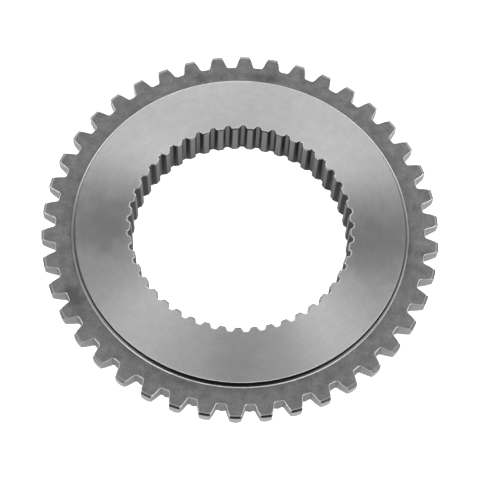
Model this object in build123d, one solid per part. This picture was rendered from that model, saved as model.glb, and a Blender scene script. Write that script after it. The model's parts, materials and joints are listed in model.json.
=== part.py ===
"""Synchronizer ring: a toothed clutch ring with a raised turned face and a splined bore.

Frame: +Z is the ring's axis. The ring lies on its lower face, at z = 0, with its axis through the
origin and the raised face up. The middle of one outer tooth lies on +X. Sizes are in mm, angles in
degrees.
"""
from build123d import *
from math import acos, cos, degrees, pi, radians, sin, tan
import os

# Outer coupling teeth. The addendum and dedendum are measured from the pitch circle
outer_teeth = 42
outer_module = 3.75
outer_pressure_angle = 20.0
outer_addendum = 2.75
outer_dedendum = 2.8
outer_tooth_share = 0.49
tip_corner_break = 0.35
tooth_root_fillet = 1.0
tip_chamfer = 0.6
tip_chamfer_angle = 57.0

# Inner spline. Its spaces have the form of the shaft's teeth, shifted outwards from the pitch circle
spline_teeth = 45
spline_module = 2.0
spline_pressure_angle = 30.0
spline_shift = 0.2
spline_addendum = 0.6
spline_dedendum = 1.2
spline_index_angle = -2.17
spline_top_chamfer = 0.45
spline_bottom_chamfer = 1.25

# Heights along the axis
body_height = 17.1
boss_height = 2.2
rim_thickness = 9.8

# Raised turned face, set in from the roots of the coupling teeth, with a relieved corner at its foot
rim_width = 7.95
boss_edge_chamfer = 0.4
boss_foot_relief = 0.8

# Pointed undersides of the coupling teeth, with depths measured down from the rim's top
ridge_depth_at_root = 9.5
ridge_slope = 31.5
tooth_bevel_angle = 27.0
gap_ridge_depth = 10.2
gap_bevel_angle = 50.0

# Friction cone, set in from the roots of the teeth, and the turned recess between it and the hub
cone_setback = 2.75
cone_half_angle = 6.5
cone_end_chamfer = 0.8
cone_wall = 7.0
hub_wall = 7.4
recess_depth = 4.0
recess_draft = 10.0

# How far a cutting tool starts and ends past the material that it cuts
overcut = 2.0

outer_pitch_radius = outer_teeth * outer_module / 2
tip_radius = outer_pitch_radius + outer_addendum
root_radius = outer_pitch_radius - outer_dedendum
tooth_thickness = outer_tooth_share * pi * outer_module

spline_pitch_radius = spline_teeth * spline_module / 2
spline_minor_radius = spline_pitch_radius + spline_shift - spline_addendum
spline_major_radius = spline_pitch_radius + spline_shift + spline_dedendum
space_width = pi * spline_module / 2 + 2 * spline_shift * tan(radians(spline_pressure_angle))

rim_bottom = body_height - rim_thickness
total_height = body_height + boss_height
boss_radius = root_radius - rim_width
cone_radius = root_radius - cone_setback
cone_foot = cone_radius - rim_bottom * tan(radians(cone_half_angle))
recess_outer = cone_foot - cone_wall
recess_inner = spline_major_radius + hub_wall


def polar(radius, angle):
    """Point in the plane of the ring at a radius and an angle."""
    return Vector(radius * cos(radians(angle)), radius * sin(radians(angle)))


def involute(pressure_angle):
    """Involute function of an angle in radians, in radians."""
    return tan(pressure_angle) - pressure_angle


def involute_half_angle(radius, pitch_radius, pressure_angle, width):
    """Half the angle that an involute tooth spans at a radius, from its width at the pitch circle."""
    base_radius = pitch_radius * cos(radians(pressure_angle))
    narrowing = involute(acos(base_radius / radius)) - involute(radians(pressure_angle))
    return degrees(width / (2 * pitch_radius) - narrowing)


def corners_at(face, points):
    """The corners of a face that lie at the given points."""
    return [face.vertices().sort_by_distance(point)[0] for point in points]


def toothed_face(teeth, low_radius, high_radius, half_angle, first_angle, tip_break=0, root_round=0):
    """Face inside an outline of evenly spaced teeth that point outwards.

    half_angle gives half the angle that a tooth spans at a radius, and a flank is straight between
    its two ends. One pitch is drawn as a sector, its tip corners are broken, its root corners are
    rounded, and its outer edges are repeated round the axis.
    """
    pitch = 360 / teeth
    low_angle = half_angle(low_radius)
    high_angle = half_angle(high_radius)
    start = polar(low_radius, -pitch / 2)
    end = polar(low_radius, pitch / 2)
    roots = (polar(low_radius, -low_angle), polar(low_radius, low_angle))
    tips = (polar(high_radius, -high_angle), polar(high_radius, high_angle))
    middle_of_gap = (pitch / 2 + low_angle) / 2
    sector = make_face([
        ThreePointArc(start, polar(low_radius, -middle_of_gap), roots[0]),
        Line(roots[0], tips[0]),
        ThreePointArc(tips[0], polar(high_radius, 0), tips[1]),
        Line(tips[1], roots[1]),
        ThreePointArc(roots[1], polar(low_radius, middle_of_gap), end),
        Line(end, (0, 0)),
        Line((0, 0), start),
    ])
    if tip_break:
        sector = chamfer(corners_at(sector, tips), tip_break)
    if root_round:
        sector = fillet(corners_at(sector, roots), root_round)
    one_pitch = [edge for edge in sector.edges() if edge.distance_to(Vertex(0, 0, 0)) > low_radius / 2]
    outline = [Rot(0, 0, first_angle + i * pitch) * edge for i in range(teeth) for edge in one_pitch]
    return Face(Wire.combine(outline)[0])


def outer_half_angle(radius):
    """Half the angle that a coupling tooth spans at a radius."""
    return involute_half_angle(radius, outer_pitch_radius, outer_pressure_angle, tooth_thickness)


def spline_half_angle(radius):
    """Half the angle that a spline space spans at a radius."""
    return involute_half_angle(radius, spline_pitch_radius, spline_pressure_angle, space_width)


def rim_blank():
    """The rim with its coupling teeth, with square undersides and the turned chamfer on the tips."""
    outline = toothed_face(outer_teeth, root_radius, tip_radius, outer_half_angle, 0,
                           tip_corner_break, tooth_root_fillet)
    toothed = extrude(Pos(0, 0, rim_bottom) * outline, rim_thickness)
    chamfer_fall = tan(radians(tip_chamfer_angle)) * (tip_chamfer + overcut)
    section = Polyline(
        (cone_radius - overcut, rim_bottom - overcut),
        (tip_radius + overcut, rim_bottom - overcut),
        (tip_radius + overcut, body_height - chamfer_fall),
        (tip_radius - tip_chamfer, body_height),
        (cone_radius - overcut, body_height),
        close=True,
    )
    return toothed & revolve(Plane.XZ * make_face(section), Axis.Z)


def notch():
    """Cutter that points one side of a tooth's underside, for the tooth on +X.

    It is a prism with two sloping faces. One is the tooth's bevel, which rises from the ridge under
    the tooth's middle to its flank. The other falls from there to the ridge under the gap's middle.
    """
    half_pitch = radians(180 / outer_teeth)
    ridge_rise = tan(radians(ridge_slope))
    tooth_rise = tan(radians(tooth_bevel_angle))
    gap_rise = tan(radians(gap_bevel_angle))
    gap_fall = gap_rise * cos(half_pitch)

    def crest(x):
        tooth_ridge = body_height - ridge_depth_at_root + ridge_rise * (x - root_radius)
        gap_side = body_height - gap_ridge_depth + gap_rise * x * sin(half_pitch)
        y = (gap_side - tooth_ridge) / (tooth_rise + gap_fall)
        return Vector(x, y, tooth_ridge + tooth_rise * y)

    start = crest(cone_radius - overcut)
    run = crest(tip_radius + overcut) - start
    drop = run.Z + rim_thickness
    low_tooth = start - Vector(0, drop / tooth_rise, drop)
    low_gap = start + Vector(0, drop / gap_fall, -drop)
    section = make_face(Polyline(start, low_tooth, low_gap, close=True))
    return extrude(section, run.length, dir=run)


def pointed_rim():
    """The rim with the undersides of its teeth pointed, and the ridges left in its gaps."""
    one_side = notch()
    other_side = mirror(one_side, Plane.XZ)
    cutters = [Rot(0, 0, i * 360 / outer_teeth) * side
               for i in range(outer_teeth) for side in (one_side, other_side)]
    return rim_blank() - cutters


def core():
    """The turned body, without its bore: raised face, cone and recess."""
    recess_taper = recess_depth * tan(radians(recess_draft))
    section = Polyline(
        (0, 0),
        (recess_inner, 0),
        (recess_inner + recess_taper, recess_depth),
        (recess_outer - recess_taper, recess_depth),
        (recess_outer, 0),
        (cone_foot - cone_end_chamfer, 0),
        (cone_foot, cone_end_chamfer),
        (cone_radius, rim_bottom),
        (cone_radius, body_height),
        (boss_radius + boss_foot_relief, body_height),
        (boss_radius, body_height + boss_foot_relief),
        (boss_radius, total_height - boss_edge_chamfer),
        (boss_radius - boss_edge_chamfer, total_height),
        (0, total_height),
        close=True,
    )
    return revolve(Plane.XZ * make_face(section), Axis.Z)


def bore_cutter():
    """Cutter for the splined bore, which runs through both faces."""
    outline = toothed_face(spline_teeth, spline_minor_radius, spline_major_radius,
                           spline_half_angle, spline_index_angle)
    return extrude(Pos(0, 0, -overcut) * outline, total_height + 2 * overcut)


def end_chamfer(height, size, inwards):
    """Cutter for a 45 degree chamfer on the spline at one end of the bore.

    height is the end face's height, and inwards is 1 where the metal lies above it, else -1.
    """
    section = Polyline(
        (0, height - inwards * overcut),
        (spline_minor_radius + size + overcut, height - inwards * overcut),
        (spline_minor_radius, height + inwards * size),
        (0, height + inwards * size),
        close=True,
    )
    return revolve(Plane.XZ * make_face(section), Axis.Z)


def splined_core():
    """The turned body with its splined bore."""
    chamfers = [end_chamfer(0, spline_bottom_chamfer, 1), end_chamfer(total_height, spline_top_chamfer, -1)]
    return core() - bore_cutter() - chamfers


os.makedirs("parts", exist_ok=True)
export_step(pointed_rim() + splined_core(), "parts/synchronizer_ring.step")
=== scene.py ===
"""Looks of the synchronizer ring: its fine form, its steel finishes, and the studio round it.

The ring is one piece of steel. Its mesh here is a skin of closed loops that run round the axis, from
the top of the splined bore over the turned face and the coupling teeth, under the rim, and back up
the bore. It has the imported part's sizes, and adds the broken edges and rounded corners of the real
ring. Sizes are in millimetres until a mesh is made.
"""

import json
import logging
import math
from dataclasses import dataclass, field
from enum import Enum
from typing import NamedTuple

import bmesh
import bpy
import numpy as np
from mathutils import Matrix, Vector

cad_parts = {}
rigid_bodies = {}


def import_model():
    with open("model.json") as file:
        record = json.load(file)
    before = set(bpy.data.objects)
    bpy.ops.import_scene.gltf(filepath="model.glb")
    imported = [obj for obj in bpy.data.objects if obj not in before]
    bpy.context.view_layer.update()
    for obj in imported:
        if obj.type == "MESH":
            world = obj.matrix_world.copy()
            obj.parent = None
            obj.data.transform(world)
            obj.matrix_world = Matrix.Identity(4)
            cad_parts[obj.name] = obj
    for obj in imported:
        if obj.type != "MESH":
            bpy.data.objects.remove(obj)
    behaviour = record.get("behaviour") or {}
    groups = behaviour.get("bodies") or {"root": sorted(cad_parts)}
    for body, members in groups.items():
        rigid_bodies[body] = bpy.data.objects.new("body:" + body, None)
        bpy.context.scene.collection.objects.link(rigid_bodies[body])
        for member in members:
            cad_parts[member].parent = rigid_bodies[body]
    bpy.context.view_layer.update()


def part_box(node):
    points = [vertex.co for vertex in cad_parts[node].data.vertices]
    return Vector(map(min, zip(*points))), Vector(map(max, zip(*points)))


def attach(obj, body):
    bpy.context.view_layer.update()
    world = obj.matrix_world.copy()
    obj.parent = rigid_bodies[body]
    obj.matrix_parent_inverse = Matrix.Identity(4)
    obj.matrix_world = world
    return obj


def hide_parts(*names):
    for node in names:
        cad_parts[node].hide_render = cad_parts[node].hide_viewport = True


LOG = logging.getLogger("synchronizer_ring")
NODE = "synchronizer_ring"
MM = 0.001

# Points on every loop of the skin: 30 for each coupling tooth, and 28 for each spline space
LOOP_POINTS = 1260

# Points closer than this, in metres, become one
MERGE_DISTANCE = 1e-6

# Angle in degrees between two faces from which their shared edge is shaded sharp
SHARP_ANGLE = 35.0

# Middle of the values that a noise texture gives
NOISE_MIDDLE = 0.5


class Finish(Enum):
    """The finishes of the ring, in the order of the mesh's material slots. Several carry painted
    highlights and painted shade.
    """

    FACE = 0
    BOSS_EDGE = 1
    BOSS_WALL = 2
    LAND = 3
    RIM = 4
    BROKEN_EDGE = 5
    TIP_CHAMFER = 6
    TOOTH_TIP = 7
    TOOTH_WALL = 8
    UNDERSIDE = 9
    BORE_EDGE = 10
    SPLINE_CHAMFER = 11
    SPLINE_TIP = 12
    SPLINE_FLANK = 13
    SPLINE_ROOT = 14
    GAP_WALL = 15
    WORN_TIP = 16


def unit(values: np.ndarray) -> np.ndarray:
    """Complex numbers scaled to a length of one."""
    return values / np.abs(values)


def grey(tone: float) -> tuple[float, float, float, float]:
    """An opaque grey."""
    return (tone, tone, tone, 1.0)


def slope_of(angle: float) -> float:
    """Rise of a slope for each unit of its run, from its angle in degrees."""
    return math.tan(math.radians(angle))


def involute(angle: float) -> float:
    """Involute function of an angle in radians."""
    return math.tan(angle) - angle


def involute_half_angle(radius: float, pitch_radius: float, pressure_angle: float, width: float) -> float:
    """Half the angle that an involute tooth spans at a radius.

    Args:
        radius: Radius at which the angle is wanted.
        pitch_radius: Radius of the pitch circle.
        pressure_angle: Pressure angle in degrees.
        width: Width of the tooth along the pitch circle.

    Returns:
        The half angle in radians.
    """
    pressure = math.radians(pressure_angle)
    at_radius = math.acos(pitch_radius * math.cos(pressure) / radius)
    return width / (2 * pitch_radius) - (involute(at_radius) - involute(pressure))


@dataclass(frozen=True)
class Toothing:
    """Evenly spaced teeth that point outwards, with rounded corners.

    Plans are closed outlines of complex numbers, x + iy, anticlockwise from the first tooth's middle.
    A flank is straight between its involute ends, apart from its bulge. Low and high stand for the
    circles of the roots and the tips. The steps say into how many pieces each stretch of half a pitch
    is divided. Angles given in the fields are in degrees.
    """

    count: int
    low_radius: float
    high_radius: float
    pitch_radius: float
    pressure_angle: float
    width: float
    low_round: float
    high_round: float
    flank_bulge: float
    first_angle: float
    high_steps: int
    high_round_steps: int
    flank_steps: int
    low_round_steps: int
    low_steps: int

    @property
    def half_steps(self) -> int:
        """Steps from the middle of a tooth to the middle of a gap."""
        return (self.high_steps + self.high_round_steps + self.flank_steps
                + self.low_round_steps + self.low_steps)

    def half_angle(self, radius: float) -> float:
        """Half the angle in radians that a tooth spans at a radius."""
        return involute_half_angle(radius, self.pitch_radius, self.pressure_angle, self.width)

    def _corner(self, foot: complex, along: complex, side: float, reach: float) -> complex:
        """Centre of a corner's rounding.

        Args:
            foot: The flank's low end.
            along: Direction of the flank, outwards.
            side: Distance of the centre from the flank, positive on the gap's side.
            reach: Distance of the centre from the axis.

        Returns:
            The centre.
        """
        start = foot + side * along * 1j
        lean = (start * along.conjugate()).real
        return start + along * (math.sqrt(lean ** 2 - abs(start) ** 2 + reach ** 2) - lean)

    def _arc(self, centre: complex, start: complex, end: complex, steps: int) -> np.ndarray:
        """Points of a short arc round a centre, without its last point."""
        turn = np.angle((end - centre) / (start - centre))
        return centre + (start - centre) * np.exp(1j * turn * np.arange(steps) / steps)

    def _half(self) -> np.ndarray:
        """Draws half a pitch, from the middle of a tooth to the middle of the gap.

        Returns:
            Its points, with both ends.
        """
        half_pitch = math.pi / self.count
        foot = self.low_radius * np.exp(1j * self.half_angle(self.low_radius))
        head = self.high_radius * np.exp(1j * self.half_angle(self.high_radius))
        along = (head - foot) / abs(head - foot)
        high = self._corner(foot, along, -self.high_round, self.high_radius - self.high_round)
        low = self._corner(foot, along, self.low_round, self.low_radius + self.low_round)
        high_start = high * self.high_radius / abs(high)
        high_end = high + self.high_round * along * 1j
        low_start = low - self.low_round * along * 1j
        low_end = low * self.low_radius / abs(low)
        run = np.arange(self.flank_steps) / self.flank_steps
        bulge = self.flank_bulge * 4 * run * (1 - run)
        return np.concatenate([
            self._arc(0, self.high_radius, high_start, self.high_steps),
            self._arc(high, high_start, high_end, self.high_round_steps),
            high_end + run * (low_start - high_end) + bulge * along * 1j,
            self._arc(low, low_start, low_end, self.low_round_steps),
            self._arc(0, low_end, self.low_radius * np.exp(1j * half_pitch), self.low_steps),
            [self.low_radius * np.exp(1j * half_pitch)],
        ])

    def plan(self, inset: float = 0.0) -> np.ndarray:
        """Draws the whole outline.

        Args:
            inset: How far it is moved into the teeth, measured square to it.

        Returns:
            The outline.
        """
        half = self._half()
        pitch = 2 * math.pi / self.count
        one = np.concatenate([half[:-1], np.conj(half[::-1])[:-1] * np.exp(1j * pitch)])
        turns = np.exp(1j * (pitch * np.arange(self.count) + math.radians(self.first_angle)))
        outline = (turns[:, None] * one[None, :]).ravel()
        before = unit(outline - np.roll(outline, 1))
        after = unit(np.roll(outline, -1) - outline)
        outward = unit(before + after) * -1j
        return outline - outward * inset / np.real(outward * np.conj(before * -1j))


def held_within(plan: np.ndarray, low: float = 0.0, high: float = math.inf) -> np.ndarray:
    """A plan with its points moved along their radii to lie between two circles."""
    return unit(plan) * np.clip(np.abs(plan), low, high)


def circle(radius: float) -> np.ndarray:
    """A plan that is a plain circle."""
    return radius * np.exp(2j * math.pi * np.arange(LOOP_POINTS) / LOOP_POINTS)


@dataclass
class Skin:
    """A closed skin made of loops.

    Each loop adds the band that leads to it from the loop before, and the first one adds the band that
    closes the skin.
    """

    loops: list[np.ndarray] = field(default_factory=list)
    bands: list[np.ndarray] = field(default_factory=list)

    def add(self, plan: np.ndarray, height: float | np.ndarray, finish: Finish,
            *outer: tuple[float, Finish]) -> None:
        """Adds a loop.

        Args:
            plan: The loop's outline.
            height: Its height, or one for each of its points.
            finish: Finish of the band that it adds.
            *outer: Radii in rising order, each with the finish of the faces that lie past it.
        """
        self.loops.append(np.stack([plan.real, plan.imag, np.broadcast_to(height, plan.shape)], axis=1))
        reach = np.minimum(np.abs(plan), np.abs(np.roll(plan, -1)))
        slots = np.full(plan.shape, finish.value)
        for radius, other in outer:
            slots[reach > radius] = other.value
        self.bands.append(slots)

    def mesh(self, name: str, half_depth: float) -> bpy.types.Mesh:
        """The skin as a mesh in metres, with a material index on each face.

        Args:
            name: The mesh's name.
            half_depth: Furthest reach from the axis along Y, where the outline is held.

        Returns:
            The mesh.
        """
        count = len(self.loops)
        points = np.concatenate(self.loops) * MM
        points[:, 1] = np.clip(points[:, 1], -half_depth * MM, half_depth * MM)
        here = np.arange(LOOP_POINTS)
        there = np.roll(here, -1)
        faces = []
        slots = []
        for index in range(count):
            last = (index - 1) % count * LOOP_POINTS
            this = index * LOOP_POINTS
            faces.append(np.stack([last + here, this + here, this + there, last + there], axis=1))
            slots.append(self.bands[index])
        mesh = bpy.data.meshes.new(name)
        mesh.from_pydata(points.tolist(), [], np.concatenate(faces).tolist())
        mesh.polygons.foreach_set("material_index", np.concatenate(slots).astype(np.int32))
        mesh.polygons.foreach_set("use_smooth", np.ones(count * LOOP_POINTS, bool))
        shell = bmesh.new()
        shell.from_mesh(mesh)
        bmesh.ops.remove_doubles(shell, verts=shell.verts, dist=MERGE_DISTANCE)
        shell.to_mesh(mesh)
        shell.free()
        return mesh


@dataclass(frozen=True)
class SteelFinish:
    """One finish of the steel. Lengths of texture are in millimetres.

    The tone is the grey of the bare finish. Contrasts are the shares by which a texture changes it.
    The side share and its sharpness paint shade: the grey falls by that share at the two sides along X,
    where the light falls differently, and rises there as a painted highlight where the share is negative.
    grazing is the grey that the steel takes on when it is seen at a slant.
    """

    name: str
    tone: float
    roughness: float
    anisotropy: float = 0.0
    mark_pitch: float = 0.25
    mark_contrast: float = 0.0
    mottle_size: float = 6.0
    mottle_contrast: float = 0.0
    grain_size: float = 0.5
    grain_contrast: float = 0.0
    stain_contrast: float = 0.0
    painted_side_shading: float = 0.0
    side_sharpness: float = 12.0
    metallic: float = 1.0
    grazing: float = 1.0


FINISHES: dict[Finish, SteelFinish] = {
    Finish.FACE: SteelFinish(
        "turned_face", tone=0.60, roughness=0.40, anisotropy=0.85, mark_pitch=0.4, mark_contrast=0.15,
        mottle_size=5, mottle_contrast=0.10, grain_size=0.8, grain_contrast=0.10, stain_contrast=0.25),
    # Rounded boss edge: its own grey, with painted shade at the two sides along X
    Finish.BOSS_EDGE: SteelFinish(
        "face_edge", tone=0.56, roughness=0.45, anisotropy=0.85, stain_contrast=0.3, painted_side_shading=0.75,
        side_sharpness=9.0),
    # Boss wall and the steep parts of its roundings: nearly black and dim at a slant, painted shade and a
    # painted dark reflection, with a painted highlight at the two sides along X
    Finish.BOSS_WALL: SteelFinish(
        "boss_wall_painted_shade", tone=0.06, roughness=0.40, grazing=0.1, painted_side_shading=-2.3, side_sharpness=3.0),
    # Turned land at the boss foot, also on the cone's end: its grey above the face's is partly a painted
    # highlight for the bright line at the boss foot, over the real turned steel, and it has painted shade
    # at the two sides along X
    Finish.LAND: SteelFinish(
        "turned_land", tone=1.0, roughness=0.46, anisotropy=0.85, stain_contrast=0.3, painted_side_shading=0.5),
    Finish.RIM: SteelFinish(
        "dark_rim", tone=0.20, roughness=0.60, mottle_size=4, mottle_contrast=0.55, grain_size=1.0,
        grain_contrast=0.35, stain_contrast=0.35, metallic=0.7),
    # Broken edges round the teeth: the light grey is a painted highlight of the light lines along them
    Finish.BROKEN_EDGE: SteelFinish("broken_edge_painted_highlight", tone=0.72, roughness=0.40),
    # Tooth tip chamfer: nearly black and dim at a slant, painted shade and a painted dark reflection, with
    # a painted highlight at the two sides along X
    Finish.TIP_CHAMFER: SteelFinish(
        "tooth_chamfer_painted_shade", tone=0.07, roughness=0.35, grazing=0.1, painted_side_shading=-3.0, side_sharpness=2.5),
    Finish.TOOTH_TIP: SteelFinish(
        "tooth_tip", tone=0.56, roughness=0.42, mottle_size=3, mottle_contrast=0.08),
    Finish.TOOTH_WALL: SteelFinish(
        "tooth_wall", tone=0.49, roughness=0.42, mottle_size=3, mottle_contrast=0.08),
    Finish.UNDERSIDE: SteelFinish(
        "underside", tone=0.30, roughness=0.50, mottle_size=5, mottle_contrast=0.10),
    # Band along the bore's edges: the light grey is a painted highlight
    Finish.BORE_EDGE: SteelFinish("bore_edge", tone=0.85, roughness=0.30),
    # Spline chamfers: the dark grey is painted shade
    Finish.SPLINE_CHAMFER: SteelFinish("spline_chamfer", tone=0.15, roughness=0.35),
    Finish.SPLINE_TIP: SteelFinish(
        "spline_tip", tone=0.30, roughness=0.35, mottle_size=3, mottle_contrast=0.05),
    # Spline flanks: the darker grey than the tips is painted shade
    Finish.SPLINE_FLANK: SteelFinish(
        "spline_flank", tone=0.10, roughness=0.35, mottle_size=3, mottle_contrast=0.05),
    # Spline roots: the darker grey than the tips is painted shade in the spaces
    Finish.SPLINE_ROOT: SteelFinish(
        "spline_root", tone=0.22, roughness=0.35, mottle_size=3, mottle_contrast=0.05),
    # Tooth walls near the roots: the darker grey than the other tooth walls is painted shade between the
    # teeth
    Finish.GAP_WALL: SteelFinish(
        "gap_wall", tone=0.32, roughness=0.42, mottle_size=3, mottle_contrast=0.08),
    # Band on the tooth tops before the chamfer: the light grey is a painted highlight
    Finish.WORN_TIP: SteelFinish("tip_painted_highlight", tone=0.60, roughness=0.40),
}


class Graph:
    """A node tree with short ways to add and join its nodes."""

    def __init__(self, tree: bpy.types.NodeTree) -> None:
        """Wraps a node tree."""
        self.tree = tree

    def node(self, kind: str, inputs: dict[str | int, object] | None = None,
             **settings: object) -> bpy.types.Node:
        """Adds a node.

        Args:
            kind: The node's type name.
            inputs: Values or output sockets for its inputs, by name or place.
            **settings: Values for its own properties.

        Returns:
            The node.
        """
        node = self.tree.nodes.new(kind)
        for key, value in settings.items():
            setattr(node, key, value)
        for key, value in (inputs or {}).items():
            if isinstance(value, bpy.types.NodeSocket):
                self.tree.links.new(value, node.inputs[key])
            else:
                node.inputs[key].default_value = value
        return node

    def math(self, operation: str, *values: object) -> bpy.types.NodeSocket:
        """Adds a math node and returns its output."""
        return self.node("ShaderNodeMath", dict(enumerate(values)), operation=operation).outputs[0]

    def vector(self, operation: str, *values: object) -> bpy.types.Node:
        """Adds a vector math node."""
        return self.node("ShaderNodeVectorMath", dict(enumerate(values)), operation=operation)

    def group(self, tree: bpy.types.NodeTree, **inputs: float) -> bpy.types.NodeSocket:
        """Places a node group.

        Args:
            tree: The group.
            **inputs: Values for its inputs, by name.

        Returns:
            Its only output.
        """
        node = self.node("ShaderNodeGroup", node_tree=tree)
        for key, value in inputs.items():
            node.inputs[key].default_value = value
        return node.outputs[0]

    def swing(self, value: bpy.types.NodeSocket, amount: float) -> bpy.types.NodeSocket:
        """A factor round one that follows a value round one half."""
        return self.math("MULTIPLY_ADD", value, 2 * amount, 1 - amount)

    def lower(self, mask: bpy.types.NodeSocket, amount: float) -> bpy.types.NodeSocket:
        """A factor that is one outside a mask and lower by an amount inside it."""
        return self.math("MULTIPLY_ADD", mask, -amount, 1.0)


class Place(NamedTuple):
    """Sockets that say where a point of the surface lies, in metres."""

    x: bpy.types.NodeSocket
    plan: bpy.types.NodeSocket
    radius: bpy.types.NodeSocket


def place_in_plan(graph: Graph) -> Place:
    """Adds the nodes that say where a point lies when seen along the axis.

    Args:
        graph: Graph to add them to.

    Returns:
        The point's X, its place in the plane of the ring, and its distance from the axis.
    """
    place = graph.node("ShaderNodeTexCoord").outputs["Object"]
    parts = graph.node("ShaderNodeSeparateXYZ", {0: place}).outputs
    plan = graph.node("ShaderNodeCombineXYZ", {0: parts[0], 1: parts[1]}).outputs[0]
    return Place(parts[0], plan, graph.vector("LENGTH", plan).outputs["Value"])


class NewGroup(NamedTuple):
    """A new node group, the graph inside it, and its inner sockets by name."""

    tree: bpy.types.NodeTree
    graph: Graph
    into: dict[str, bpy.types.NodeSocket]
    out: dict[str, bpy.types.NodeSocket]


def new_group(name: str, inputs: dict[str, float], outputs: list[str]) -> NewGroup:
    """Makes a shader node group with float sockets.

    Args:
        name: The group's name.
        inputs: Default values of its inputs, by name.
        outputs: Names of its outputs.

    Returns:
        The group and what is needed to fill it.
    """
    tree = bpy.data.node_groups.new(name, "ShaderNodeTree")
    for label, value in inputs.items():
        socket = tree.interface.new_socket(label, in_out="INPUT", socket_type="NodeSocketFloat")
        socket.default_value = value
    for label in outputs:
        tree.interface.new_socket(label, in_out="OUTPUT", socket_type="NodeSocketFloat")
    graph = Graph(tree)
    entry = graph.node("NodeGroupInput")
    leave = graph.node("NodeGroupOutput")
    into = {label: entry.outputs[label] for label in inputs}
    out = {label: leave.inputs[label] for label in outputs}
    return NewGroup(tree, graph, into, out)


@dataclass(frozen=True)
class Stain:
    """A darker handled patch on the steel.

    It is placed by its angle in degrees and its radius, and reaches along and across the ring by the
    given lengths in millimetres. Its strength is the mask's value in its middle.
    """

    angle: float
    radius: float
    along: float
    across: float
    strength: float


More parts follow.
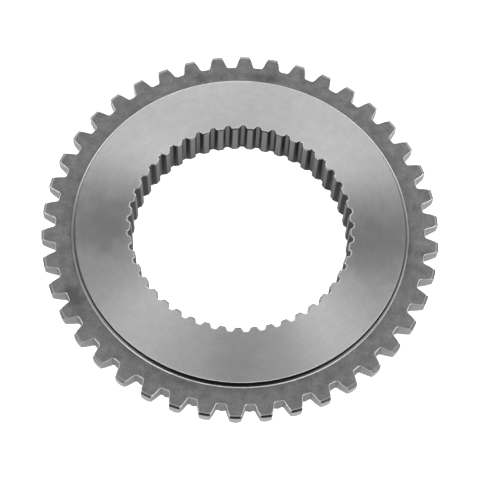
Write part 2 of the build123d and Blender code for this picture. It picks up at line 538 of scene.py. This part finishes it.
class Steel:
    """Makes the ring's materials, which share their node groups.

    A mottle changes the roughness too, by gloss_swing of its contrast and the other way round.
    """

    gloss_swing: float = -0.5
    stains: tuple[Stain, ...] = (
        Stain(angle=176, radius=72.0, along=9, across=3, strength=0.5),
        Stain(angle=202, radius=73.5, along=11, across=5, strength=1.2),
        Stain(angle=78, radius=71.5, along=16, across=3, strength=0.9),
        Stain(angle=98, radius=72.0, along=8, across=3, strength=0.7),
        Stain(angle=248, radius=70.5, along=12, across=3, strength=0.5),
        Stain(angle=177, radius=57.0, along=19, across=20, strength=0.9),
        Stain(angle=-13, radius=58.0, along=22, across=20, strength=0.8),
        Stain(angle=264, radius=60.0, along=14, across=14, strength=0.4),
    )

    def __init__(self) -> None:
        """Builds the node groups."""
        self.marks = self._marks_group()
        self.mottle = self._mottle_group()
        self.stain = self._stain_group()
        self.sides = self._painted_sides_group()

    def _marks_group(self) -> bpy.types.NodeTree:
        """Makes the fine marks of the turning tool, which run round the axis and fade in and out.

        Returns:
            The group, whose value lies round one half.
        """
        inputs = {"Pitch": 0.25, "Arc Length": 5.0, "Detail": 3.0, "Roughness": 0.65}
        tree, graph, into, out = new_group("TurningMarks", inputs, ["Value"])
        place = place_in_plan(graph)
        tracks = graph.math("DIVIDE", place.radius, graph.math("MULTIPLY", into["Pitch"], MM))
        drift = graph.node("ShaderNodeVectorMath", {0: place.plan}, operation="SCALE")
        tree.links.new(graph.math("DIVIDE", 1 / MM, into["Arc Length"]), drift.inputs["Scale"])
        lift = graph.node("ShaderNodeCombineXYZ", {2: tracks}).outputs[0]
        spot = graph.vector("ADD", drift.outputs[0], lift).outputs[0]
        noise = graph.node("ShaderNodeTexNoise", {"Vector": spot, "Scale": 1.0, "Detail": into["Detail"],
                                                  "Roughness": into["Roughness"]})
        tree.links.new(noise.outputs["Fac"], out["Value"])
        return tree

    def _mottle_group(self) -> bpy.types.NodeTree:
        """Makes cloudy patches of one size.

        Returns:
            The group, whose value lies round one half.
        """
        inputs = {"Size": 6.0, "Detail": 4.0, "Roughness": 0.55, "Shift": 0.0}
        tree, graph, into, out = new_group("Mottling", inputs, ["Value"])
        place = graph.node("ShaderNodeTexCoord").outputs["Object"]
        shift = graph.node("ShaderNodeCombineXYZ", {0: into["Shift"], 1: into["Shift"]}).outputs[0]
        spot = graph.vector("ADD", place, shift).outputs[0]
        scale = graph.math("DIVIDE", 1 / MM, into["Size"])
        noise = graph.node("ShaderNodeTexNoise", {"Vector": spot, "Scale": scale, "Detail": into["Detail"],
                                                  "Roughness": into["Roughness"]})
        tree.links.new(noise.outputs["Fac"], out["Value"])
        return tree

    def _stain_group(self) -> bpy.types.NodeTree:
        """Makes the patches where the ring has been handled.

        Returns:
            The group, whose mask is a stain's strength in its middle.
        """
        inputs = {"Ragged": 1.3, "Tears per Metre": 120.0, "Detail": 3.0, "Border": 1.0, "Core": 0.15}
        tree, graph, into, out = new_group("Stains", inputs, ["Mask"])
        place = graph.node("ShaderNodeTexCoord").outputs["Object"]
        noise = graph.node("ShaderNodeTexNoise", {"Vector": place, "Scale": into["Tears per Metre"],
                                                  "Detail": into["Detail"]})
        tear = graph.math("SUBTRACT", noise.outputs["Fac"], NOISE_MIDDLE)
        fray = graph.math("MULTIPLY", tear, into["Ragged"])
        total = None
        for stain in self.stains:
            turned = graph.node("ShaderNodeVectorRotate",
                                {"Vector": place, "Angle": -math.radians(stain.angle)},
                                rotation_type="Z_AXIS").outputs[0]
            middle = graph.vector("SUBTRACT", turned, (stain.radius * MM, 0, 0)).outputs[0]
            stretch = (1 / (stain.across * MM), 1 / (stain.along * MM), 0)
            scaled = graph.vector("MULTIPLY", middle, stretch).outputs[0]
            away = graph.math("ADD", graph.vector("LENGTH", scaled).outputs["Value"], fray)
            near = graph.node("ShaderNodeMapRange",
                              {"Value": away, "From Min": into["Border"], "From Max": into["Core"]},
                              interpolation_type="SMOOTHSTEP").outputs[0]
            part = graph.math("MULTIPLY", near, stain.strength)
            total = part if total is None else graph.math("MAXIMUM", total, part)
        tree.links.new(total, out["Mask"])
        return tree

    def _painted_sides_group(self) -> bpy.types.NodeTree:
        """Makes a mask at the two sides along X, which paints shade on some finishes and a highlight on
        others.

        Returns:
            The group, whose mask is one on the X axis.
        """
        tree, graph, into, out = new_group("PaintedSideShading", {"Sharpness": 12.0}, ["Mask"])
        place = place_in_plan(graph)
        cosine = graph.math("ABSOLUTE", graph.math("DIVIDE", place.x, place.radius))
        tree.links.new(graph.math("POWER", cosine, into["Sharpness"]), out["Mask"])
        return tree

    def material(self, finish: SteelFinish) -> bpy.types.Material:
        """Makes the material of one finish.

        Args:
            finish: The finish.

        Returns:
            The material.
        """
        material = bpy.data.materials.new(finish.name)
        material.use_nodes = True
        tree = material.node_tree
        tree.nodes.clear()
        graph = Graph(tree)
        marks = graph.group(self.marks, Pitch=finish.mark_pitch)
        mottle = graph.group(self.mottle, Size=finish.mottle_size)
        grain = graph.group(self.mottle, Size=finish.grain_size, Detail=2.0, Shift=0.3)
        factors = [
            graph.swing(marks, finish.mark_contrast),
            graph.swing(mottle, finish.mottle_contrast),
            graph.swing(grain, finish.grain_contrast),
            graph.lower(graph.group(self.stain), finish.stain_contrast),
        ]
        # The side share paints shade at the two sides along X, and a painted highlight there where it is
        # negative
        if finish.painted_side_shading:
            sides = graph.group(self.sides, Sharpness=finish.side_sharpness)
            factors.append(graph.lower(sides, finish.painted_side_shading))
        factor = factors[0]
        for other in factors[1:]:
            factor = graph.math("MULTIPLY", factor, other)
        color = graph.vector("SCALE", (finish.tone,) * 3)
        tree.links.new(factor, color.inputs["Scale"])
        gloss = graph.swing(mottle, self.gloss_swing * finish.mottle_contrast)
        shader = graph.node("ShaderNodeBsdfPrincipled", {
            "Base Color": color.outputs[0],
            "Roughness": graph.math("MULTIPLY", gloss, finish.roughness),
            "Metallic": finish.metallic,
            "Anisotropic": finish.anisotropy,
            "Specular Tint": grey(finish.grazing),
        })
        if finish.anisotropy:
            tangent = graph.node("ShaderNodeTangent", direction_type="RADIAL", axis="Z")
            tree.links.new(tangent.outputs[0], shader.inputs["Tangent"])
        graph.node("ShaderNodeOutputMaterial", {"Surface": shader.outputs[0]})
        return material


@dataclass
class SynchronizerRing:
    """The ring: turned body, raised face, pointed coupling teeth and splined bore.

    Sizes are in millimetres and angles in degrees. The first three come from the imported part: its
    height, the radius of its tips, and its furthest reach along Y.
    """

    top: float
    tip_radius: float
    half_depth: float
    name: str = "ring_body"

    # Raised turned face. Its rounded edge keeps its own grey up to a slope that is given by its sine, and
    # past it takes the wall's painted shade
    boss_height: float = 2.2
    boss_edge_round: float = 0.6
    boss_edge_steps: int = 6
    boss_edge_lit: float = 0.4
    boss_foot_round: float = 0.75
    boss_foot_land: float = 0.48

    # Rim and coupling teeth, with the addendum and dedendum measured from the pitch circle. The reach
    # says how far past the roots the painted shade of the gap walls gives way to the grey of the tooth
    # walls
    rim_width: float = 7.95
    rim_thickness: float = 9.8
    tooth_count: int = 42
    tooth_pressure_angle: float = 20.0
    tooth_addendum: float = 2.75
    tooth_dedendum: float = 2.8
    tooth_share: float = 0.545
    tooth_tip_round: float = 0.5
    tooth_root_round: float = 1.0
    tooth_bulge: float = 0.08
    gap_wall_reach: float = 0.5

    # Turned chamfer on the tips, its bulge, and the broken edges round the teeth with the bands beside
    # them that carry a painted highlight
    tip_chamfer: float = 0.6
    tip_chamfer_angle: float = 57.0
    tip_highlight_width: float = 0.6
    chamfer_crown_reach: float = 0.42
    chamfer_crown_drop: float = 0.35
    tooth_edge_break: float = 0.2
    tooth_edge_highlight: float = 0.05
    tooth_foot_break: float = 0.25

    # Pointed undersides, with depths measured down from the rim's top. The hold keeps the lower ends of
    # the walls that far inside the tips
    tip_hold: float = 0.08
    ridge_depth_at_root: float = 10.0
    ridge_slope: float = 31.5
    ridge_round: float = 0.5
    tooth_bevel_angle: float = 36.0
    gap_ridge_depth: float = 10.2
    gap_bevel_angle: float = 50.0
    underside_steps: int = 4

    # Friction cone, set in from the roots of the teeth, and the recess between it and the hub
    cone_setback: float = 2.75
    cone_half_angle: float = 6.5
    cone_end_chamfer: float = 0.8
    cone_wall: float = 7.0
    hub_wall: float = 7.4
    recess_depth: float = 4.0
    recess_draft: float = 10.0
    recess_round: float = 1.2

    # Splined bore. Its spaces are shifted outwards from the pitch circle
    spline_count: int = 45
    spline_module: float = 2.0
    spline_shift: float = 0.2
    spline_addendum: float = 0.6
    spline_dedendum: float = 1.2
    spline_pressure_angle: float = 30.0
    spline_index_angle: float = -2.17
    spline_tip_round: float = 0.7
    spline_root_round: float = 0.5
    spline_top_chamfer: float = 0.45
    spline_bottom_chamfer: float = 1.25
    spline_edge_break: float = 0.14
    # Width of the band of painted highlight along the bore's top edge
    bore_edge_width: float = 0.3

    # Steps of a rounding, and how far from a circle the faces that lie on it are told apart
    break_steps: int = 3
    tip_margin: float = 0.1
    chamfer_margin: float = 0.04
    spline_tip_margin: float = 0.02
    spline_root_margin: float = 0.05

    def __post_init__(self) -> None:
        """Works out the radii, the heights and the two toothings."""
        self.rim_top = self.top - self.boss_height
        self.rim_bottom = self.rim_top - self.rim_thickness
        pitch_radius = self.tip_radius - self.tooth_addendum
        module = pitch_radius * 2 / self.tooth_count
        self.root_radius = pitch_radius - self.tooth_dedendum
        self.boss_radius = self.root_radius - self.rim_width
        self.cone_radius = self.root_radius - self.cone_setback
        self.wall_zone = (self.root_radius + self.gap_wall_reach, Finish.TOOTH_WALL)
        self.teeth = Toothing(
            count=self.tooth_count, low_radius=self.root_radius, high_radius=self.tip_radius,
            pitch_radius=pitch_radius, pressure_angle=self.tooth_pressure_angle,
            width=self.tooth_share * math.pi * module, low_round=self.tooth_root_round,
            high_round=self.tooth_tip_round, flank_bulge=self.tooth_bulge, first_angle=0.0,
            high_steps=2, high_round_steps=4, flank_steps=3, low_round_steps=4, low_steps=2)
        spline_pitch = self.spline_count * self.spline_module / 2
        shifted = spline_pitch + self.spline_shift
        widening = 2 * self.spline_shift * slope_of(self.spline_pressure_angle)
        self.spline = Toothing(
            count=self.spline_count, low_radius=shifted - self.spline_addendum,
            high_radius=shifted + self.spline_dedendum, pitch_radius=spline_pitch,
            pressure_angle=self.spline_pressure_angle, width=math.pi * self.spline_module / 2 + widening,
            low_round=self.spline_tip_round, high_round=self.spline_root_round, flank_bulge=0.0,
            first_angle=self.spline_index_angle,
            high_steps=2, high_round_steps=3, flank_steps=2, low_round_steps=3, low_steps=4)

    def _breaks(self, steps: int | None = None) -> list[tuple[float, float]]:
        """Divides the rounding of an edge.

        Args:
            steps: Its number of steps, where it isn't the usual one.

        Returns:
            The sine and cosine of the angle at each step, from a flat face to a wall.
        """
        count = steps or self.break_steps
        angles = [math.pi / 2 * step / count for step in range(count + 1)]
        return [(math.sin(angle), math.cos(angle)) for angle in angles]

    def _bore_plan(self, inset: float, low: float) -> np.ndarray:
        """The spline's outline, cut into the metal by an inset, and turned to start near +X."""
        start = round(self.spline_index_angle * LOOP_POINTS / 360)
        return np.roll(held_within(self.spline.plan(-inset), low), start)

    def _turned_top(self, skin: Skin) -> None:
        """Adds the spline's top edge, the raised face, its wall and the land at its foot.

        Args:
            skin: The skin that they are added to.
        """
        edge = self.spline_edge_break
        mouth = self.spline.low_radius + self.spline_top_chamfer
        # Top edge of the spline: its first band has the chamfer's painted shade, the rest the bore edge's
        # painted highlight
        for index, (out, over) in enumerate(self._breaks()[::-1]):
            skin.add(self._bore_plan(edge * (1 - out), mouth), self.top - edge * (1 - over),
                     Finish.BORE_EDGE if index else Finish.SPLINE_CHAMFER)
        # A band of painted highlight along the bore's top edge
        light = edge + self.bore_edge_width
        skin.add(self._bore_plan(light, mouth + light), self.top, Finish.BORE_EDGE)
        skin.add(circle(self.spline.high_radius + 2 * light), self.top, Finish.FACE)
        rounding = self.boss_edge_round
        finish = Finish.FACE
        for out, over in self._breaks(self.boss_edge_steps):
            skin.add(circle(self.boss_radius - rounding * (1 - out)), self.top - rounding * (1 - over),
                     finish)
            # Past the lit slope the rounding takes the wall's painted shade
            finish = Finish.BOSS_EDGE if out < self.boss_edge_lit else Finish.BOSS_WALL
        # The wall's rounded foot takes its painted shade too, as darkening in the corner at the foot of
        # the boss
        foot = self.boss_foot_round
        for out, over in self._breaks():
            skin.add(circle(self.boss_radius + foot * (1 - over)), self.rim_top + foot * (1 - out),
                     Finish.BOSS_WALL)
        skin.add(circle(self.boss_radius + foot + self.boss_foot_land), self.rim_top, Finish.LAND)

    def _teeth_top(self, skin: Skin) -> None:
        """Adds the rim's top, the broken edge round the teeth, their chamfers and their walls.

        Args:
            skin: The skin that they are added to.
        """
        edge = self.tooth_edge_break
        chamfer_radius = self.tip_radius - self.tip_chamfer
        slope = slope_of(self.tip_chamfer_angle)
        # The rim's grey stops short of the teeth; the band left, the broken edge and the tip's band before
        # the chamfer carry a painted highlight
        flat = self.teeth.plan(edge + self.tooth_edge_highlight)
        skin.add(held_within(flat, high=chamfer_radius - self.tip_highlight_width), self.rim_top, Finish.RIM)
        for out, over in self._breaks():
            drop = edge * (1 - over)
            limit = chamfer_radius + drop / slope - self.tooth_edge_highlight * over
            skin.add(held_within(self.teeth.plan(edge * (1 - out)), high=limit), self.rim_top - drop,
                     Finish.BROKEN_EDGE, (chamfer_radius - self.tip_margin, Finish.WORN_TIP),
                     (chamfer_radius - self.chamfer_margin, Finish.TIP_CHAMFER))
        # The chamfer's crown carries the broken edge's painted highlight, the chamfer is painted dark as
        # shade, and walls near the roots have the gap walls' painted shade
        crown = (chamfer_radius + self.chamfer_crown_reach, self.chamfer_crown_drop)
        end = (self.tip_radius, self.tip_chamfer * slope)
        for limit, drop in (crown, end):
            skin.add(held_within(self.teeth.plan(), high=limit), self.rim_top - drop, Finish.GAP_WALL,
                     self.wall_zone, (chamfer_radius, Finish.BROKEN_EDGE),
                     (limit - self.tip_margin, Finish.TIP_CHAMFER))

    def _ridge_height(self, plan: np.ndarray) -> np.ndarray:
        """Works out the height of the pointed underside.

        Args:
            plan: Points in the plane of the ring.

        Returns:
            The height at each of them.
        """
        half_pitch = math.pi / self.teeth.count
        away = (np.angle(plan) + half_pitch) % (2 * half_pitch) - half_pitch
        local = np.abs(plan) * np.exp(1j * np.abs(away))
        rise = np.hypot(local.imag, self.ridge_round) - self.ridge_round
        under_tooth = (self.rim_top - self.ridge_depth_at_root
                       + slope_of(self.ridge_slope) * (local.real - self.root_radius)
                       + slope_of(self.tooth_bevel_angle) * rise)
        aside = local.real * math.sin(half_pitch) - local.imag * math.cos(half_pitch)
        under_gap = self.rim_top - self.gap_ridge_depth + slope_of(self.gap_bevel_angle) * aside
        return np.maximum(np.minimum(under_tooth, under_gap), self.rim_bottom)

    def _pointed_underside(self, skin: Skin) -> None:
        """Adds the walls' lower edges and the pointed undersides, in to the friction cone.

        Args:
            skin: The skin that they are added to.
        """
        reach = self.tip_radius - self.tip_hold
        outline = held_within(self.teeth.plan(), high=reach)
        foot = self._ridge_height(outline)
        edge = self.tooth_foot_break
        # Walls near the roots have the gap walls' painted shade
        skin.add(outline, foot + edge, Finish.GAP_WALL, self.wall_zone, (reach - edge, Finish.TOOTH_TIP))
        # The loop above ends the wall, so the rounding goes on from its next step
        for out, over in self._breaks()[-2::-1]:
            plan = held_within(self.teeth.plan(edge * (1 - out)), high=reach)
            skin.add(plan, foot + edge * (1 - over), Finish.UNDERSIDE)
        inner = self._cone_plan()
        outer = self.teeth.plan(edge)
        for step in range(1, self.underside_steps + 1):
            plan = outer + step / self.underside_steps * (inner - outer)
            skin.add(plan, self._ridge_height(plan), Finish.UNDERSIDE)

    def _crease_angle(self) -> float:
        """Works out where the underside's crease beside a tooth meets the cone's large end.

        Returns:
            The angle in degrees from the tooth's middle to there.
        """
        half_pitch = math.pi / self.teeth.count
        tooth_bevel = slope_of(self.tooth_bevel_angle)
        gap_bevel = slope_of(self.gap_bevel_angle)
        rise = (self.ridge_depth_at_root - self.gap_ridge_depth + tooth_bevel * self.ridge_round
                + slope_of(self.ridge_slope) * self.cone_setback
                + gap_bevel * self.cone_radius * math.sin(half_pitch))
        aside = rise / (tooth_bevel + gap_bevel * math.cos(half_pitch))
        return math.degrees(math.asin(aside / self.cone_radius))

    def _cone_plan(self) -> np.ndarray:
        """Draws the circle at the cone's large end, with its points opposite the underside's creases.

        Returns:
            The outline.
        """
        half_pitch = 180 / self.teeth.count
        half_steps = self.teeth.half_steps
        corner = half_steps - self.teeth.low_round_steps - self.teeth.low_steps
        half = np.interp(np.arange(half_steps + 1), [0, corner, half_steps],
                         [0, self._crease_angle(), half_pitch])
        one = np.concatenate([half[:-1], 2 * half_pitch - half[:0:-1]])
        turns = 2 * half_pitch * np.arange(self.teeth.count)
        return self.cone_radius * np.exp(1j * np.radians(turns[:, None] + one[None, :])).ravel()

    def _turned_underside(self, skin: Skin) -> None:
        """Adds the friction cone, the lower face and the recess between cone and hub.

        Args:
            skin: The skin that they are added to.
        """
        foot = self.cone_radius - self.rim_bottom * slope_of(self.cone_half_angle)
        skin.add(self._cone_plan(), self.rim_bottom, Finish.UNDERSIDE)
        skin.add(circle(foot), self.cone_end_chamfer, Finish.LAND)
        skin.add(circle(foot - self.cone_end_chamfer), 0.0, Finish.LAND)
        outer = foot - self.cone_wall
        inner = self.spline.high_radius + self.hub_wall
        taper = self.recess_depth * slope_of(self.recess_draft)
        corner = [(self.recess_round * (1 - over), self.recess_depth - self.recess_round * (1 - out))
                  for out, over in self._breaks()]
        skin.add(circle(outer), 0.0, Finish.FACE)
        for across, height in corner:
            skin.add(circle(outer - taper - across), height, Finish.UNDERSIDE)
        for across, height in corner[::-1]:
            skin.add(circle(inner + taper + across), height, Finish.UNDERSIDE)
        skin.add(circle(inner), 0.0, Finish.UNDERSIDE)

    def _bore(self, skin: Skin) -> None:
        """Adds the splined bore, from its lower chamfer up to the foot of its upper one.

        Args:
            skin: The skin that it is added to.
        """
        tips = self.spline.low_radius
        edge = self.spline_edge_break
        mouth = tips + self.spline_bottom_chamfer
        # The bore's lower edge carries a painted highlight and its chamfer painted shade
        skin.add(self._bore_plan(edge, mouth + edge), 0.0, Finish.FACE)
        skin.add(self._bore_plan(0.0, mouth - edge), edge, Finish.BORE_EDGE)
        skin.add(self._bore_plan(0.0, tips), self.spline_bottom_chamfer, Finish.SPLINE_CHAMFER)
        # The spline's flanks and roots are painted darker than its tips: painted shade
        skin.add(self._bore_plan(0.0, tips), self.top - self.spline_top_chamfer, Finish.SPLINE_TIP,
                 (tips + self.spline_tip_margin, Finish.SPLINE_FLANK),
                 (self.spline.high_radius - self.spline_root_margin, Finish.SPLINE_ROOT))

    def build(self) -> bpy.types.Object:
        """Makes the ring's mesh object.

        Returns:
            The object, with shading edges set and no materials yet.
        """
        skin = Skin()
        self._turned_top(skin)
        self._teeth_top(skin)
        self._pointed_underside(skin)
        self._turned_underside(skin)
        self._bore(skin)
        piece = bpy.data.objects.new(self.name, skin.mesh(self.name, self.half_depth))
        bpy.context.scene.collection.objects.link(piece)
        piece.data.set_sharp_from_angle(angle=math.radians(SHARP_ANGLE))
        weighted = piece.modifiers.new("WeightedNormal", "WEIGHTED_NORMAL")
        weighted.keep_sharp = True
        weighted.mode = "FACE_AREA"
        LOG.info("ring body: %d loops, %d faces", len(skin.loops), len(piece.data.polygons))
        return piece

    def dress(self, piece: bpy.types.Object, steel: Steel) -> None:
        """Gives the ring its finishes.

        Args:
            piece: The ring's mesh object.
            steel: Maker of the materials.
        """
        for finish in Finish:
            piece.data.materials.append(steel.material(FINISHES[finish]))


@dataclass(frozen=True)
class SoftLight:
    """A soft square lamp that faces the ring.

    Angles are in degrees, sizes in metres and the power in watts.
    """

    name: str
    azimuth: float
    elevation: float
    power: float
    side: float = 0.45
    distance: float = 1.0

    def place(self, target: Vector) -> bpy.types.Object:
        """Adds the lamp.

        Args:
            target: The point that it faces.

        Returns:
            The lamp's object.
        """
        lamp = bpy.data.lights.new(self.name, "AREA")
        lamp.shape = "SQUARE"
        lamp.size = self.side
        lamp.energy = self.power
        item = bpy.data.objects.new(self.name, lamp)
        turn, rise = math.radians(self.azimuth), math.radians(self.elevation)
        away = Vector((math.cos(turn) * math.cos(rise), math.sin(turn) * math.cos(rise), math.sin(rise)))
        item.location = target + away * self.distance
        item.rotation_euler = away.to_track_quat("Z", "Y").to_euler()
        item.visible_camera = False
        bpy.context.scene.collection.objects.link(item)
        return item


@dataclass(frozen=True)
class Studio:
    """The white table, the camera and the surroundings.

    Angles are in degrees and sizes in metres, but the lens and the sensor are in millimetres, and the
    shifts are shares of the picture's width. The table lies a little below the ring's lower face, so
    that the two don't meet. A glow of one is white.
    """

    camera_azimuth: float = -5.859
    camera_elevation: float = 65.268
    camera_roll: float = 3.271
    camera_distance: float = 0.632
    lens: float = 115.51
    sensor_width: float = 36.0
    shift_right: float = -0.00108
    shift_up: float = -0.02588
    nearest: float = 0.01
    furthest: float = 50.0
    table_side: float = 4.0
    table_drop: float = 0.0001
    table_white: float = 0.8
    table_glow: float = 0.88
    table_gloss_glow: float = 0.05
    ambient: float = 0.03
    gloss_glow: float = 0.05

    def place_camera(self, target: Vector) -> None:
        """Adds the camera that has the photograph's view.

        Args:
            target: Point of the axis that the camera's own axis passes through.
        """
        camera = bpy.data.cameras.new("camera")
        camera.lens = self.lens
        camera.sensor_width = self.sensor_width
        camera.shift_x = self.shift_right
        camera.shift_y = self.shift_up
        camera.clip_start = self.nearest
        camera.clip_end = self.furthest
        item = bpy.data.objects.new("camera", camera)
        turn, rise = math.radians(self.camera_azimuth), math.radians(self.camera_elevation)
        back = Vector((math.sin(turn) * math.cos(rise), -math.cos(turn) * math.cos(rise), math.sin(rise)))
        right = (-back).cross(Vector((0, 0, 1))).normalized()
        axes = Matrix((right, back.cross(right), back)).transposed().to_4x4()
        roll = Matrix.Rotation(math.radians(self.camera_roll), 4, "Z")
        item.matrix_world = Matrix.Translation(target + back * self.camera_distance) @ axes @ roll
        bpy.context.scene.collection.objects.link(item)
        bpy.context.scene.camera = item

    def lay_table(self) -> bpy.types.Object:
        """Adds the white table under the ring.

        Returns:
            The table's object.
        """
        half = self.table_side / 2
        mesh = bpy.data.meshes.new("table")
        corners = [(-half, -half, 0), (half, -half, 0), (half, half, 0), (-half, half, 0)]
        mesh.from_pydata(corners, [], [(0, 1, 2, 3)])
        table = bpy.data.objects.new("table", mesh)
        table.location.z = -self.table_drop
        bpy.context.scene.collection.objects.link(table)
        material = bpy.data.materials.new("white_table")
        material.use_nodes = True
        graph = Graph(material.node_tree)
        material.node_tree.nodes.clear()
        matt = graph.node("ShaderNodeBsdfDiffuse", {"Color": grey(self.table_white)}).outputs[0]
        path = graph.node("ShaderNodeLightPath")
        seen = graph.math("MULTIPLY", path.outputs["Is Camera Ray"], self.table_glow)
        strength = graph.math("MULTIPLY_ADD", path.outputs["Is Glossy Ray"], self.table_gloss_glow, seen)
        glow = graph.node("ShaderNodeEmission", {"Strength": strength}).outputs[0]
        both = graph.node("ShaderNodeAddShader", {0: matt, 1: glow}).outputs[0]
        graph.node("ShaderNodeOutputMaterial", {"Surface": both})
        mesh.materials.append(material)
        return table

    def set_world(self) -> None:
        """Makes the surroundings white to the camera, and dim in what the steel reflects."""
        world = bpy.data.worlds.new("studio")
        bpy.context.scene.world = world
        world.use_nodes = True
        graph = Graph(world.node_tree)
        world.node_tree.nodes.clear()
        path = graph.node("ShaderNodeLightPath")
        seen = graph.math("MULTIPLY_ADD", path.outputs["Is Camera Ray"], 1 - self.ambient, self.ambient)
        strength = graph.math("MULTIPLY_ADD", path.outputs["Is Glossy Ray"], self.gloss_glow, seen)
        backdrop = graph.node("ShaderNodeBackground", {"Color": grey(1.0), "Strength": strength})
        graph.node("ShaderNodeOutputWorld", {"Surface": backdrop.outputs[0]})


LIGHTS = (
    SoftLight("back_high", azimuth=84, elevation=55, power=0.50),
    SoftLight("right_rear", azimuth=54, elevation=25, power=2.39),
    SoftLight("right_rear_middle", azimuth=24, elevation=40, power=0.64),
    SoftLight("right_rear_low", azimuth=24, elevation=25, power=0.44),
    SoftLight("back_right_low", azimuth=54, elevation=10, power=0.46),
    SoftLight("back_left", azimuth=114, elevation=40, power=0.50),
    SoftLight("back_left_low", azimuth=114, elevation=10, power=2.87),
    SoftLight("left_rear", azimuth=144, elevation=25, power=1.65),
    SoftLight("left_high", azimuth=174, elevation=55, power=0.82),
    SoftLight("left_front", azimuth=204, elevation=40, power=4.36),
    SoftLight("right_high", azimuth=-6, elevation=55, power=0.40),
    SoftLight("right_side", azimuth=-6, elevation=40, power=1.30),
    SoftLight("right_front", azimuth=-36, elevation=40, power=4.48),
)


def main() -> None:
    """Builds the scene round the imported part."""
    logging.basicConfig(level=logging.INFO)
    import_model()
    bpy.context.scene.view_settings.view_transform = "Standard"
    low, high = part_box(NODE)
    ring = SynchronizerRing(top=high.z / MM, tip_radius=high.x / MM, half_depth=high.y / MM)
    piece = ring.build()
    ring.dress(piece, Steel())
    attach(piece, "root")
    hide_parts(NODE)
    LOG.info("built %s", piece.name)
    studio = Studio()
    target = Vector((0, 0, ring.rim_top * MM))
    studio.place_camera(target)
    table = studio.lay_table()
    studio.set_world()
    for light in LIGHTS:
        light.place(target)


if __name__ == "__main__":
    main()
